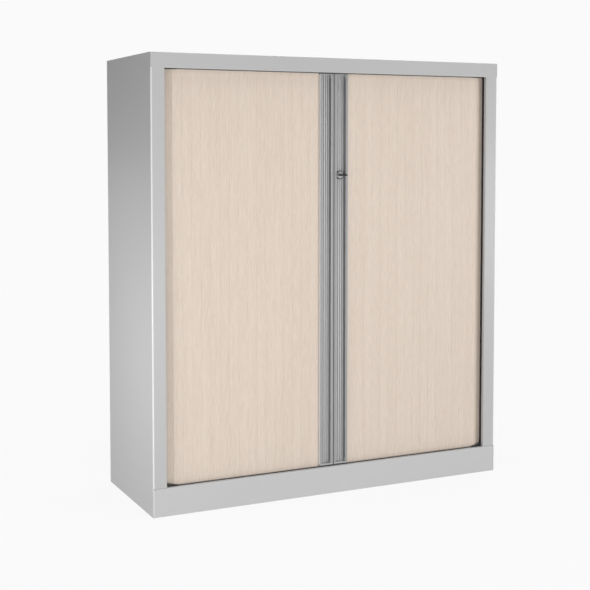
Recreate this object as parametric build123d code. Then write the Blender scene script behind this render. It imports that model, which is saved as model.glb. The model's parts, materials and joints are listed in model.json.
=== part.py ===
"""Side-opening tambour cupboard: a folded steel carcase whose two roll fronts of upright slats
run in plastic tracks round the front corners. Millimetres, +Z up, front face towards -Y,
origin on the floor under the middle of the carcase."""
from build123d import *
import os
from math import cos, pi, sin

# ---- carcase ----
width = 1200.0
depth = 430.0
height = 1360.0
sheet = 1.0
bend_radius = 2.2
corner_flat = 0.05
plinth_height = 85.0
stile_width = 43.0
top_rail_height = 45.0
lip_depth = 12.0
rail_lip_depth = 9.0
plinth_lip_depth = 10.0
foot_flange = 15.0
rear_flange_width = 20.0
top_flange_width = 15.0
seam_gap = 0.3
corner_gap = 1.2
floor_drop = 8.0
floor_fold = 17.0
ceiling_drop = 26.0
ceiling_fold = 16.0
rear_rail_height = 20.0
stiffener_half_width = 25.0
stiffener_foot = 20.0
stiffener_depth = 22.0
stiffener_inset = 40.0

# ---- roll fronts ----
slat_pitch = 30.0
tail_count = 4
slat_thickness = 8.0
slat_gap = 0.3
slat_edge = 0.5
slat_wall = 1.4
tongue_length = 1.8
tongue_width = 2.5
tongue_clearance = 0.3
curtain_setback = 17.0
turn_radius = 45.0
side_to_curtain = 24.8
rear_run = 135.0
slat_end_gap = 1.0
curve_steps = 6

# ---- tracks ----
track_base = 2.0
track_wall = 2.0
track_depth = 10.0
upper_track_depth = 21.5
track_clearance = 0.8
corner_start = 15.0
corner_run = 10.0
guide_rise = 9.5
guide_drop = 1.5
apron_overlap = 5.0

# ---- grips ----
grip_width = 48.5
grip_setback = 11.0
grip_seam = 1.1
grip_depth = 16.0
fin_width = 9.0
fin_wall = 1.7
recess_floor = 2.5
fin_round = 1.4
lip_thickness = 3.0
lip_round = 0.8
cove_round = 2.0
rib_count = 4
rib_pitch = 7.0
rib_width = 2.6
rib_height = 2.4
cap_height = 4.5
upper_cap_height = 1.5
cap_inset = 0.2
cap_gap = 1.5
cap_post = 10.0
cap_post_clearance = 0.8
runner_thickness = 6.8
runner_inset = 4.0
seal_width = 3.0
seal_thickness = 1.8
seal_inset = 3.0

# ---- lock ----
lock_height = 999.0
lock_from_seam = 25.0
collar_radius = 13.5
collar_height = 6.5
collar_chamfer = 1.5
lock_radius = 9.5
lock_length = 15.5
plug_radius = 6.5
running_gap = 0.1
nut_across = 24.0
nut_height = 4.0
cam_thickness = 2.5
cam_width = 9.0
cam_length = 40.0
cam_boss_radius = 8.0
hook_length = 5.0
hook_drop = 6.0
cam_screw_radius = 5.0
cam_screw_height = 3.5
key_thickness = 2.2
key_width = 8.0
key_reach = 14.0
key_stem = 7.5
bow_width = 31.0
bow_length = 20.5
bow_thickness = 5.0
bow_round = 8.0
bow_hole_radius = 2.5
bow_hole_inset = 5.5
key_seat = 8.0
keeper_sheet = 2.0
keeper_length = 41.0
keeper_from_seam = 4.0
keeper_below = 14.0
keeper_above = 46.0
keeper_wall_from_seam = 6.0
keeper_depth = 24.0
keeper_slot_clearance = 1.5
keeper_slot_above = 40.0
keeper_screw_radius = 1.8
keeper_head_radius = 3.5
keeper_head_height = 1.5
keeper_screw_inset = 8.0

# ---- inside fittings ----
shelf_names = ("lower_shelf", "middle_shelf", "upper_shelf")
shelf_front = 60.0
shelf_rear = 50.0
shelf_edge = 25.0
shelf_return = 12.0
shelf_side_gap = 0.5
inner_panel_inset = 40.0
inner_panel_flange = 7.0
inner_panel_rear = 60.0
slot_low = 155.0
slot_pitch = 52.0
slot_head_room = 60.0
slot_length = 12.0
slot_height = 4.0
slot_column = 120.0
first_shelf_slot_count = 4
shelf_slot_count = 6
clip_length = 18.0
clip_width = 14.0
clip_thickness = 6.0
clip_tongue = 3.0
clip_clearance = 0.3
liner_inset = 35.0
liner_side_inset = 52.0
back_inset = 10.0
rivet_rows = 6
rivet_radius = 1.9
rivet_head_radius = 4.0
rivet_head_height = 1.2
rivet_edge = 15.0

# ---- levelling feet ----
foot_side_inset = 78.0
foot_end_inset = 65.0
pad_radius = 22.0
pad_height = 8.0
pad_clear_of_floor = 2.0
pad_chamfer = 2.0
stem_radius = 5.0
stem_height = 50.0
channel_low = 20.0
channel_web_end = 21.0
channel_foot_width = 99.0
channel_top_width = 26.0
channel_rear_gap = 5.0
insert_radius = 8.0
insert_flange_radius = 12.0
insert_flange = 2.0
insert_height = 14.0
access_radius = 10.0
plug_flange_radius = 12.5
plug_flange = 1.5
plug_depth = 6.0

# ---- places that follow from the sizes ----
side = width / 2
front = -depth / 2
back = depth / 2
opening = side - stile_width
inside_face = side - sheet
rail_low = height - top_rail_height
floor_top = plinth_height - floor_drop
ceiling_low = height - ceiling_drop
curtain_face = front + curtain_setback
curtain_line = curtain_face + slat_thickness / 2
curtain_start = grip_seam + grip_width + slat_edge
side_line = side - side_to_curtain
corner_x = side_line - turn_radius
slat_count = int((corner_x - curtain_start) / slat_pitch)
tail_start = curtain_start + slat_pitch * slat_count
turn_y = curtain_line + turn_radius
lane = slat_thickness / 2 + track_clearance
track_low = floor_top + track_base
track_high = ceiling_low - track_base
track_top = floor_top + track_depth
track_mouth = ceiling_low - upper_track_depth
slat_low = track_low + slat_end_gap
slat_high = track_high - slat_end_gap
grip_front = front + grip_setback
grip_back = grip_front + grip_depth
lip_back = grip_front + lip_thickness
recess_face = grip_back - recess_floor
grip_outer = grip_seam + grip_width
cap_low = track_top + cap_gap
grip_low = cap_low + cap_height
cap_high = track_mouth - cap_gap
grip_high = cap_high - upper_cap_height
inner_face = side - inner_panel_inset
inner_front = turn_y - sheet
inner_back = back - inner_panel_rear
slot_count = int((ceiling_low - slot_low - slot_head_room) / slot_pitch) + 1
cam_face = recess_face + lock_length
shelf_y0 = front + shelf_front
shelf_y1 = back - shelf_rear
foot_x = side - foot_side_inset
foot_y = back - foot_end_inset

tall = Vector(0, 0, 1)


def block(x0, x1, y0, y1, z0, z1):
    """A box between two corners."""
    size = Box(abs(x1 - x0), abs(y1 - y0), abs(z1 - z0))
    return Pos((x0 + x1) / 2, (y0 + y1) / 2, (z0 + z1) / 2) * size


def rod(x, z, radius, y0, y1):
    """A round bar along Y from y0 to y1."""
    return Pos(x, (y0 + y1) / 2, z) * Rot(90, 0, 0) * Cylinder(radius, abs(y1 - y0))


def post(x, y, radius, z0, z1):
    """A round bar along Z from z0 to z1."""
    return Pos(x, y, (z0 + z1) / 2) * Cylinder(radius, abs(z1 - z0))


def prism(points, z0, z1):
    """A closed plan outline carried straight up from z0 to z1."""
    outline = Pos(0, 0, z0) * make_face(Polyline(*points, close=True))
    return extrude(outline, amount=z1 - z0, dir=tall)


def folded(points, plane, length, inside=Side.LEFT):
    """Sheet bent with the fold radius: points are the outer corners of its section on plane."""
    line = FilletPolyline(*points, radius=bend_radius)
    section = make_face(offset(line, amount=sheet, side=inside))
    return extrude(plane * section, amount=length, dir=plane.z_dir)


def across(x0):
    """The YZ section plane at x0, whose solids grow towards +X."""
    return Plane.YZ.offset(x0)


def one(shape):
    """The single solid of a boolean result."""
    solids = shape.solids()
    assert len(solids) == 1, len(solids)
    return solids[0]


def both_hands(name, right):
    """Right-hand piece and its mirror image, with their node names."""
    return {"right_" + name: right, "left_" + name: mirror(right, about=Plane.YZ)}


# ---- carcase ----
def side_panel():
    """Outer wall with the folded stile in front and a flange behind, for the right side."""
    stile = [(opening, front + lip_depth), (opening, front), (side, front)]
    rear = [(side, back), (side - rear_flange_width, back)]
    low = plinth_height + seam_gap
    high = rail_low - seam_gap
    middle = folded(stile + rear, Plane.XY.offset(low), high - low)
    skirt = folded([(side, front)] + rear, Plane.XY, low)
    head_front = (side, front + bend_radius + seam_gap)
    head = folded([head_front] + rear, Plane.XY.offset(high), height - sheet - high)
    top = height - sheet
    flange = block(side - top_flange_width, side, head_front[1], back - 2 * bend_radius, top - sheet, top)
    wall = middle + skirt + head + flange
    for z in rivet_heights():
        wall -= rod(side - rivet_edge, z, rivet_radius + running_gap, back - 2 * sheet, back + sheet)
    return one(wall)


def top_panel():
    """Top sheet folded down into the front rail, with a lip under it and a flange behind."""
    rear = back - sheet - running_gap
    line = [
        (rear, height - rear_rail_height),
        (rear, height),
        (front, height),
        (front, rail_low),
        (front + rail_lip_depth, rail_low),
    ]
    panel = folded(line, across(-side), width)
    for hand in (-1, 1):
        panel -= block(
            hand * (side - bend_radius - sheet),
            hand * (side + sheet),
            front + sheet + running_gap,
            back,
            rail_low - sheet,
            height - sheet,
        )
    return one(panel)


def top_stiffener():
    """Hat section spot-welded under the top sheet."""
    top = height - sheet
    low = top - stiffener_depth
    foot = stiffener_half_width + stiffener_foot
    half = stiffener_half_width
    line = [(-foot, top), (-half, top), (-half, low), (half, low), (half, top), (foot, top)]
    length = side - stiffener_inset
    return one(folded(line, across(-length), 2 * length, Side.RIGHT))


def plinth_front():
    """Front of the base, with folds above, below and at both ends."""
    end = inside_face - running_gap
    line = [
        (front + plinth_lip_depth, plinth_height),
        (front, plinth_height),
        (front, 0),
        (front + foot_flange, 0),
    ]
    plinth = folded(line, across(-end), 2 * end)
    fold_end = front + channel_web_end - corner_gap
    for hand in (-1, 1):
        plinth += block(hand * (end - sheet), hand * end, front, fold_end, 0, floor_top - sheet)
        plinth -= corner_round(end, hand)
    return one(plinth)


def corner_round(end, hand):
    """What is cut off a vertical edge at the front, at end on that hand, to round it."""
    start = (hand * (end - bend_radius), front)
    finish = (hand * end, front + bend_radius)
    inset = bend_radius * (1 - cos(pi / 4)) + corner_flat
    bulge = (hand * (end - inset), front + inset)
    outside = [finish, (hand * (end + sheet), finish[1]), (hand * (end + sheet), front - sheet)]
    outside += [(start[0], front - sheet), start]
    cut = make_face(ThreePointArc(start, bulge, finish) + Polyline(*outside))
    return extrude(Pos(0, 0, -sheet) * cut, amount=plinth_height + 2 * sheet, dir=tall)


def plinth_back():
    """Back of the base, standing on its lower flange."""
    face = back - sheet - running_gap
    line = [(face - foot_flange, 0), (face, 0), (face, floor_top - sheet)]
    end = side - bend_radius - sheet
    return one(folded(line, across(-end), 2 * end))


def base_channel():
    """Channel inside the right wall that carries the floor panel and two feet."""
    line = [
        (inside_face - channel_foot_width, channel_low),
        (inside_face, channel_low),
        (inside_face, floor_top - sheet),
        (inside_face - channel_top_width, floor_top - sheet),
    ]
    rear = back - channel_rear_gap
    length = rear - (front + channel_web_end)
    channel = folded(line, Plane.XZ.offset(-rear), length)
    for y in (-foot_y, foot_y):
        channel -= post(foot_x, y, insert_radius + running_gap, channel_low - sheet, channel_low + 2 * sheet)
    return one(channel)


def floor_panel():
    """Floor sheet, folded down in front and behind, with a hole over each foot."""
    front_edge = front + sheet + running_gap
    rear_edge = back - 2 * sheet - seam_gap
    low = floor_top - floor_fold
    line = [(rear_edge, low), (rear_edge, floor_top), (front_edge, floor_top), (front_edge, low)]
    panel = folded(line, across(-inside_face), 2 * inside_face)
    for hand in (-1, 1):
        fold_x = hand * (inside_face - channel_top_width)
        panel -= block(fold_x, hand * side, front_edge - sheet, rear_edge + sheet, 0, floor_top - sheet)
    for x in (-foot_x, foot_x):
        for y in (-foot_y, foot_y):
            panel -= post(x, y, access_radius, low, height)
    return one(panel)


def ceiling_panel():
    """Inner ceiling that the upper tracks hang from, folded up in front and behind."""
    front_edge = front + plinth_lip_depth
    rear_edge = back - 3 * sheet
    high = ceiling_low + ceiling_fold
    line = [(front_edge, high), (front_edge, ceiling_low), (rear_edge, ceiling_low), (rear_edge, high)]
    return one(folded(line, across(-inside_face), 2 * inside_face))


def rivet_heights():
    """Heights of the rivets up each rear flange."""
    low = floor_top + 2 * rivet_edge
    high = height - rear_rail_height - 2 * rivet_edge
    step = (high - low) / (rivet_rows - 1)
    return [low + step * row for row in range(rivet_rows)]


def back_panel():
    """Rear sheet, held behind the two side flanges."""
    edge = side - back_inset
    face = back - sheet
    panel = block(-edge, edge, face - sheet, face, floor_top + sheet, height - rear_rail_height - sheet)
    for hand in (-1, 1):
        for z in rivet_heights():
            x = hand * (side - rivet_edge)
            panel -= rod(x, z, rivet_radius + running_gap, face - 2 * sheet, back)
    return one(panel)


def back_rivets():
    """Blind rivets through the side flanges and the back panel."""
    rivets = []
    for hand in (-1, 1):
        for z in rivet_heights():
            x = hand * (side - rivet_edge)
            shank = rod(x, z, rivet_radius, back - 2 * sheet, back)
            rivets.append(one(shank + rod(x, z, rivet_head_radius, back, back + rivet_head_height)))
    return Compound(children=rivets)


# ---- inside fittings ----
def slot_heights():
    """Centres of the clip slots up each column."""
    return [slot_low + slot_pitch * row for row in range(slot_count)]


def inner_panel():
    """Slotted inner wall between the shelves and the parked curtain, for the right side."""
    edge = inner_face + inner_panel_flange
    line = [(edge, inner_front), (inner_face, inner_front), (inner_face, inner_back), (edge, inner_back)]
    wall = folded(line, Plane.XY.offset(floor_top), ceiling_low - floor_top, Side.RIGHT)
    cuts = []
    for z in slot_heights():
        for y in (-slot_column, slot_column):
            y0 = y - slot_length / 2
            z0 = z - slot_height / 2
            y1 = y0 + slot_length
            cuts.append(block(inner_face - sheet, inner_face + 2 * sheet, y0, y1, z0, z0 + slot_height))
    return one(wall - cuts)


def rear_liner():
    """Inner rear wall in front of the parked curtain ends."""
    edge = side - liner_side_inset
    face = back - liner_inset
    return block(-edge, edge, face, face + sheet, floor_top, ceiling_low)


def shelf_seats():
    """Underside height of each shelf."""
    first = slot_low + slot_pitch * first_shelf_slot_count + clip_thickness / 2
    return [first + slot_pitch * shelf_slot_count * row for row in range(len(shelf_names))]


def shelf(seat):
    """Steel shelf with its front and rear edges folded down and under."""
    top = seat + shelf_edge
    line = [
        (shelf_y1 - shelf_return, seat),
        (shelf_y1, seat),
        (shelf_y1, top),
        (shelf_y0, top),
        (shelf_y0, seat),
        (shelf_y0 + shelf_return, seat),
    ]
    half = inner_face - shelf_side_gap
    return one(folded(line, across(-half), 2 * half))


def shelf_clips():
    """Clips under the shelf ends, each with a tongue through a slot of the inner wall."""
    clips = []
    half_width = (slot_length - 2 * clip_clearance) / 2
    half_tongue = (slot_height - 2 * clip_clearance) / 2
    for seat in shelf_seats():
        z = seat - clip_thickness / 2
        for y in (-slot_column, slot_column):
            y_end = clip_width / 2
            low = seat - clip_thickness
            seat_block = block(inner_face - clip_length, inner_face, y - y_end, y + y_end, low, seat)
            tongue = block(
                inner_face,
                inner_face + clip_tongue,
                y - half_width,
                y + half_width,
                z - half_tongue,
                z + half_tongue,
            )
            clip = one(seat_block + tongue)
            clips += [clip, mirror(clip, about=Plane.YZ)]
    return Compound(children=clips)


# ---- tracks ----
def track(path_points, base, open_end):
    """Channel swept along a plan line: base is the height of its back face, open_end that of its
    walls' edges."""
    path = FilletPolyline(*path_points, radius=turn_radius) if len(path_points) > 2 else Line(*path_points)
    start = path @ 0
    way = path % 0
    up = 1 if open_end > base else -1
    floor = base + up * track_base
    outer = lane + track_wall
    section = [
        (-outer, base),
        (outer, base),
        (outer, open_end),
        (lane, open_end),
        (lane, floor),
        (-lane, floor),
        (-lane, open_end),
        (-outer, open_end),
    ]
    plane = Plane(origin=start, x_dir=tall.cross(way), z_dir=way)
    return one(sweep(plane * make_face(Polyline(*section, close=True)), path=path))


def corner_guide(base, open_end, reach):
    """Moulded guide round the front corner, with a straight wedge-shaped apron in front that
    reaches to the height reach behind the stile."""
    start = corner_x - corner_start
    end = opening + apron_overlap
    line = [(start, curtain_line), (side_line, curtain_line), (side_line, turn_y + corner_run)]
    guide = track(line, base, open_end)
    wall = curtain_line - lane
    wedge = [(start, base), (end, base), (end, reach), (start, open_end)]
    apron = Plane.XZ.offset(-wall) * make_face(Polyline(*wedge, close=True))
    guide += extrude(apron, amount=track_wall)
    floor = base + track_base if reach > base else base - track_base
    guide += block(start, end, wall - track_wall, curtain_line, base, floor)
    return one(guide)


def side_track(base, open_end):
    """Track along the side and round the rear corner, where the open curtain parks."""
    rear_line = -curtain_line
    line = [(side_line, turn_y + corner_run), (side_line, rear_line), (corner_x - rear_run, rear_line)]
    return track(line, base, open_end)


def front_track(base, open_end):
    """Straight track across the whole front, between the corner guides."""
    end = corner_x - corner_start
    return track([(-end, curtain_line), (end, curtain_line)], base, open_end)


# ---- roll fronts ----
def slat_section(x0):
    """Plan of one hollow slat from x0 on, with a groove on its near edge and a tongue on its far one."""
    x1 = x0 + slat_pitch - slat_gap
    y0 = curtain_face
    y1 = curtain_face + slat_thickness
    tongue_y = curtain_line - tongue_width / 2
    groove_y = tongue_y - tongue_clearance
    groove_end = tongue_y + tongue_width + tongue_clearance
    groove_x = x0 + tongue_length
    outline = [
        (x0, y0 + slat_edge),
        (x0 + slat_edge, y0),
        (x1 - slat_edge, y0),
        (x1, y0 + slat_edge),
        (x1, tongue_y),
        (x1 + tongue_length, tongue_y),
        (x1 + tongue_length, tongue_y + tongue_width),
        (x1, tongue_y + tongue_width),
        (x1, y1),
        (x0, y1),
        (x0, groove_end),
        (groove_x, groove_end),
        (groove_x, groove_y),
        (x0, groove_y),
    ]
    middle = (groove_x + x1) / 2
    cells = []
    for a, b in ((groove_x + slat_wall, middle - slat_wall / 2), (middle + slat_wall / 2, x1 - slat_wall)):
        cell = [(a, y0 + slat_wall), (b, y0 + slat_wall), (b, y1 - slat_wall), (a, y1 - slat_wall)]
        cells.append(make_face(Polyline(*cell, close=True)))
    return make_face(Polyline(*outline, close=True)) - cells


def front_slats():
    """The slats across half of the front, for the right side."""
    slats = []
    for number in range(slat_count):
        section = Pos(0, 0, slat_low) * slat_section(curtain_start + slat_pitch * number)
        slats.append(one(extrude(section, amount=slat_high - slat_low, dir=tall)))
    return Compound(children=slats)


def curtain_point(s, out):
    """Plan point s past the first tail slat's near edge along the curtain's line, out to its outer
    side: straight to the corner, a quarter circle of turn_radius, then straight back along the side."""
    straight = corner_x - tail_start
    quarter = turn_radius * pi / 2
    angle = min(max(s - straight, 0), quarter) / turn_radius
    reach = turn_radius + out
    x = corner_x + min(s - straight, 0) + reach * sin(angle)
    return (x, turn_y - reach * cos(angle) + max(s - straight - quarter, 0))


def tail_slats():
    """The last slats, turning the corner on their way to the side: each is flat in front and follows
    the curve behind. For the right side."""
    slats = []
    half = slat_thickness / 2
    for number in range(tail_count):
        first = slat_pitch * number
        last = first + slat_pitch - slat_gap
        stops = [first + (last - first) * step / curve_steps for step in range(curve_steps + 1)]
        outer = [curtain_point(s, half) for s in (first, last)]
        inner = [curtain_point(s, -half) for s in reversed(stops)]
        slats.append(one(prism(outer + inner, slat_low, slat_high)))
    groove_y = curtain_line - tongue_width / 2 - tongue_clearance
    groove_end = tail_start + tongue_length + slat_gap
    groove = block(tail_start - sheet, groove_end, groove_y, 2 * curtain_line - groove_y, slat_low, slat_high)
    slats[0] = one(slats[0] - groove)
    return Compound(children=slats)


def grip_section():
    """Plan of the extruded grip: a ribbed finger recess whose two edges hook over it."""
    x0 = grip_seam
    x1 = x0 + fin_width
    x3 = grip_outer
    x2 = x3 - fin_width
    corners = [
        ((x0, grip_front), fin_round),
        ((x1, grip_front), fin_round),
        ((x1, lip_back), lip_round),
        ((x0 + fin_wall, lip_back), lip_round),
        ((x0 + fin_wall, recess_face), cove_round),
        ((x3 - fin_wall, recess_face), cove_round),
        ((x3 - fin_wall, lip_back), lip_round),
        ((x2, lip_back), lip_round),
        ((x2, grip_front), fin_round),
        ((x3, grip_front), fin_round),
        ((x3, grip_back), slat_edge),
        ((x0, grip_back), slat_edge),
    ]
    outline = FilletPolyline(*[p for p, r in corners], radius=[r for p, r in corners], close=True)
    section = make_face(outline)
    tongue_end = x3 + tongue_length + slat_edge
    section += Pos((x3 + tongue_end) / 2, curtain_line) * Rectangle(tongue_end - x3, tongue_width)
    for x in rib_places():
        section += Pos(x, recess_face - rib_height / 2) * Rectangle(rib_width, rib_height)
    return section


def rib_places():
    """Where the ribs stand across the recess."""
    middle = grip_seam + grip_width / 2
    return [middle + rib_pitch * (number - (rib_count - 1) / 2) for number in range(rib_count)]


def grip_blank():
    """The full-height grip, for the right shutter, before its lock or keeper holes."""
    return one(extrude(Pos(0, 0, grip_low) * grip_section(), amount=grip_high - grip_low, dir=tall))


def right_grip():
    """Grip with the hole that the lock is nutted into."""
    x, z = lock_from_seam, lock_height
    seat = rod(x, z, collar_radius + seam_gap, recess_face - 2 * rib_height, recess_face)
    hole = rod(x, z, lock_radius + running_gap, recess_face, grip_back + sheet)
    return one(grip_blank() - seat - hole)


def left_grip():
    """Grip with the two screw holes of the keeper."""
    grip = mirror(grip_blank(), about=Plane.YZ)
    for x, z in keeper_screw_places():
        grip -= rod(x, z, keeper_screw_radius + running_gap, recess_face - 2 * rib_height, grip_back + sheet)
    return one(grip)


def grip_cap(plate_low, plate_high, runner_end, post_end):
    """End cap of a grip: plate, runner blade in the track and two pegs behind the grip's lips."""
    x0 = grip_seam + cap_inset
    x1 = grip_outer - cap_inset
    cap = block(x0, x1, grip_front + cap_inset, grip_back, plate_low, plate_high)
    half = runner_thickness / 2
    near, far = (plate_low, plate_high) if runner_end < plate_low else (plate_high, plate_low)
    blade_x = (grip_seam + runner_inset, grip_outer - runner_inset)
    cap += block(*blade_x, curtain_line - half, curtain_line + half, near, runner_end)
    peg_y = (lip_back + cap_post_clearance, recess_face - cap_post_clearance)
    peg_near = fin_wall + cap_post_clearance
    peg_far = fin_width - cap_post_clearance
    cap += block(grip_seam + peg_near, grip_seam + peg_far, *peg_y, far, post_end)
    cap += block(grip_outer - peg_far, grip_outer - peg_near, *peg_y, far, post_end)
    return one(cap)


def closing_seal():
    """Rubber strip on the left grip that meets the right one."""
    y0 = grip_front + seal_inset
    return block(-grip_seam, seal_thickness - grip_seam, y0, y0 + seal_width, grip_low, grip_high)


# ---- lock ----
def lock_body():
    """Lock case with its round collar in the recess."""
    x, z = lock_from_seam, lock_height
    face = recess_face - collar_height
    collar = rod(x, z, collar_radius, face, recess_face)
    rim = collar.edges().filter_by(lambda e: abs(e.center().Y - face) < running_gap)
    collar = chamfer(rim, collar_chamfer)
    body = collar + rod(x, z, lock_radius, recess_face, cam_face)
    return one(body - rod(x, z, plug_radius + running_gap, face - sheet, cam_face + sheet))


def lock_nut():
    """Hex nut that clamps the lock behind the recess floor."""
    hexagon = RegularPolygon(nut_across / 2, 6, major_radius=False)
    plane = Plane(origin=(lock_from_seam, grip_back, lock_height), x_dir=(1, 0, 0), z_dir=(0, 1, 0))
    nut = extrude(plane * hexagon, amount=nut_height)
    radius = lock_radius + running_gap
    hole = rod(lock_from_seam, lock_height, radius, grip_back - sheet, grip_back + 2 * nut_height)
    return one(nut - hole)


def key_slot(grow):
    """The flat blade of the key, grown by a clearance all round."""
    face = recess_face - collar_height
    half_x = key_width / 2 + grow
    half_z = key_thickness / 2 + grow
    x, z = lock_from_seam, lock_height
    near = face - key_stem - key_seat - grow
    far = face + key_reach + grow
    return block(x - half_x, x + half_x, near, far, z - half_z, z + half_z)


def lock_plug():
    """Turning barrel, slotted for the key."""
    plug = rod(lock_from_seam, lock_height, plug_radius, recess_face - collar_height, cam_face)
    return one(plug - key_slot(running_gap))


def key_cover():
    """Plastic head of the key, gripping the blade's end."""
    inner = recess_face - collar_height - key_stem
    outer = inner - bow_length
    half = bow_width / 2
    x = lock_from_seam
    z = lock_height - bow_thickness / 2
    corners = [
        ((x - half, outer), bow_round),
        ((x + half, outer), bow_round),
        ((x + half, inner), collar_chamfer),
        ((x - half, inner), collar_chamfer),
    ]
    outline = FilletPolyline(*[p for p, r in corners], radius=[r for p, r in corners], close=True)
    head = extrude(Pos(0, 0, z) * make_face(outline), amount=bow_thickness, dir=tall)
    head -= post(x, outer + bow_hole_inset, bow_hole_radius, z - sheet, z + bow_thickness + sheet)
    return one(head - key_slot(0))


def lock_cam():
    """Hooked arm on the barrel, standing up when unlocked; the hook is at its free end."""
    x, z = lock_from_seam, lock_height
    half = cam_width / 2
    end = z + cam_length
    arm = [
        (x - half, z),
        (x + half, z),
        (x + half, end),
        (x - half - hook_drop, end),
        (x - half - hook_drop, end - hook_length),
        (x - half, end - hook_length),
    ]
    plane = Plane.XZ.offset(-cam_face)
    plate = extrude(plane * make_face(Polyline(*arm, close=True)), amount=-cam_thickness)
    plate += rod(x, z, cam_boss_radius, cam_face, cam_face + cam_thickness)
    return one(plate)


def cam_screw():
    """Round-headed screw that holds the cam on the barrel."""
    start = cam_face + cam_thickness
    return rod(lock_from_seam, lock_height, cam_screw_radius, start, start + cam_screw_height)


def keeper_screw_places():
    """(x, z) of the two keeper screws."""
    x = -(keeper_from_seam + keeper_length - keeper_screw_inset)
    low = lock_height - keeper_below + keeper_screw_inset
    high = lock_height + keeper_above - keeper_screw_inset
    return [(x, low), (x, high)]


def keeper():
    """Folded bracket behind the left grip; the cam's hook catches in its slot."""
    z0 = lock_height - keeper_below
    z1 = lock_height + keeper_above
    near = -keeper_from_seam
    wall_x = -keeper_wall_from_seam
    plate = block(near - keeper_length, wall_x, grip_back, grip_back + keeper_sheet, z0, z1)
    wall = block(wall_x - keeper_sheet, wall_x, grip_back, grip_back + keeper_depth, z0, z1)
    slot_y0 = cam_face - 2 * keeper_slot_clearance
    slot_y1 = cam_face + cam_thickness + 2 * keeper_slot_clearance
    slot = block(
        wall_x - 2 * keeper_sheet,
        wall_x + keeper_sheet,
        slot_y0,
        slot_y1,
        lock_height - cam_width / 2 - keeper_slot_clearance,
        lock_height + keeper_slot_above,
    )
    bracket = plate + wall - slot
    hole_radius = keeper_screw_radius + running_gap
    for x, z in keeper_screw_places():
        bracket -= rod(x, z, hole_radius, grip_back - sheet, grip_back + 2 * keeper_sheet)
    return one(bracket)


def keeper_screws():
    """The two screws through the keeper into the grip."""
    screws = []
    seat = grip_back + keeper_sheet
    for x, z in keeper_screw_places():
        shank = rod(x, z, keeper_screw_radius, recess_face, seat)
        screws.append(one(shank + rod(x, z, keeper_head_radius, seat, seat + keeper_head_height)))
    return Compound(children=screws)


# ---- levelling feet ----
def foot(x, y):
    """Foot pad with its threaded stem."""
    low = pad_clear_of_floor
    pad = post(x, y, pad_radius, low, low + pad_height)
    rim = pad.edges().filter_by(lambda e: abs(e.center().Z - low - pad_height) < running_gap)
    pad = chamfer(rim, pad_chamfer)
    return one(pad + post(x, y, stem_radius, low + pad_height, low + pad_height + stem_height))


def foot_inserts():
    """Flanged threaded inserts in the base channels."""
    inserts = []
    seat = channel_low + sheet
    for x in (-foot_x, foot_x):
        for y in (-foot_y, foot_y):
            insert = post(x, y, insert_radius, channel_low, seat + insert_height)
            insert += post(x, y, insert_flange_radius, seat, seat + insert_flange)
            insert -= post(x, y, stem_radius + running_gap, 0, height)
            inserts.append(one(insert))
    return Compound(children=inserts)


def access_plugs():
    """Push-in plugs over the holes that give access to the feet."""
    plugs = []
    for x in (-foot_x, foot_x):
        for y in (-foot_y, foot_y):
            plug = post(x, y, access_radius - running_gap, floor_top - plug_depth, floor_top)
            plugs.append(one(plug + post(x, y, plug_flange_radius, floor_top, floor_top + plug_flange)))
    return Compound(children=plugs)


def feet():
    """The four feet by name."""
    named = {}
    for hand, x in (("left", -foot_x), ("right", foot_x)):
        for end, y in (("front", -foot_y), ("rear", foot_y)):
            named[f"{hand}_{end}_foot"] = foot(x, y)
    return named


def assembly():
    """Every piece by its node name."""
    cap_peg_low = grip_low + cap_post
    cap_peg_high = grip_high - cap_post
    lower_cap = grip_cap(cap_low, grip_low, track_low + slat_end_gap, cap_peg_low)
    upper_cap = grip_cap(grip_high, cap_high, track_high - slat_end_gap, cap_peg_high)
    nodes = {
        "top_panel": top_panel(),
        "top_stiffener": top_stiffener(),
        "plinth_front": plinth_front(),
        "plinth_back": plinth_back(),
        "floor_panel": floor_panel(),
        "ceiling_panel": ceiling_panel(),
        "back_panel": back_panel(),
        "back_rivets": back_rivets(),
        "rear_liner": rear_liner(),
        "shelf_clips": shelf_clips(),
        "lower_front_track": front_track(floor_top, track_top),
        "upper_front_track": front_track(ceiling_low, track_mouth),
        "right_grip": right_grip(),
        "left_grip": left_grip(),
        "closing_seal": closing_seal(),
        "lock_body": lock_body(),
        "lock_nut": lock_nut(),
        "lock_plug": lock_plug(),
        "lock_cam": lock_cam(),
        "cam_screw": cam_screw(),
        "key_blade": key_slot(0),
        "key_cover": key_cover(),
        "keeper": keeper(),
        "keeper_screws": keeper_screws(),
        "foot_inserts": foot_inserts(),
        "access_plugs": access_plugs(),
    }
    for name, seat in zip(shelf_names, shelf_seats()):
        nodes[name] = shelf(seat)
    nodes.update(feet())
    nodes.update(both_hands("side_panel", side_panel()))
    nodes.update(both_hands("base_channel", base_channel()))
    nodes.update(both_hands("inner_panel", inner_panel()))
    lower_guide = corner_guide(floor_top, track_top, track_top + guide_rise)
    upper_guide = corner_guide(ceiling_low, track_mouth, track_mouth - guide_drop)
    nodes.update(both_hands("lower_corner_guide", lower_guide))
    nodes.update(both_hands("upper_corner_guide", upper_guide))
    nodes.update(both_hands("lower_side_track", side_track(floor_top, track_top)))
    nodes.update(both_hands("upper_side_track", side_track(ceiling_low, track_mouth)))
    nodes.update(both_hands("grip_lower_cap", lower_cap))
    nodes.update(both_hands("grip_upper_cap", upper_cap))
    nodes.update(both_hands("curtain_front_slats", front_slats()))
    nodes.update(both_hands("curtain_tail_slats", tail_slats()))
    return nodes


os.makedirs("parts", exist_ok=True)
for node_name, piece in assembly().items():
    export_step(piece, f"parts/{node_name}.step")
    print(node_name, len(piece.solids()))
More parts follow.
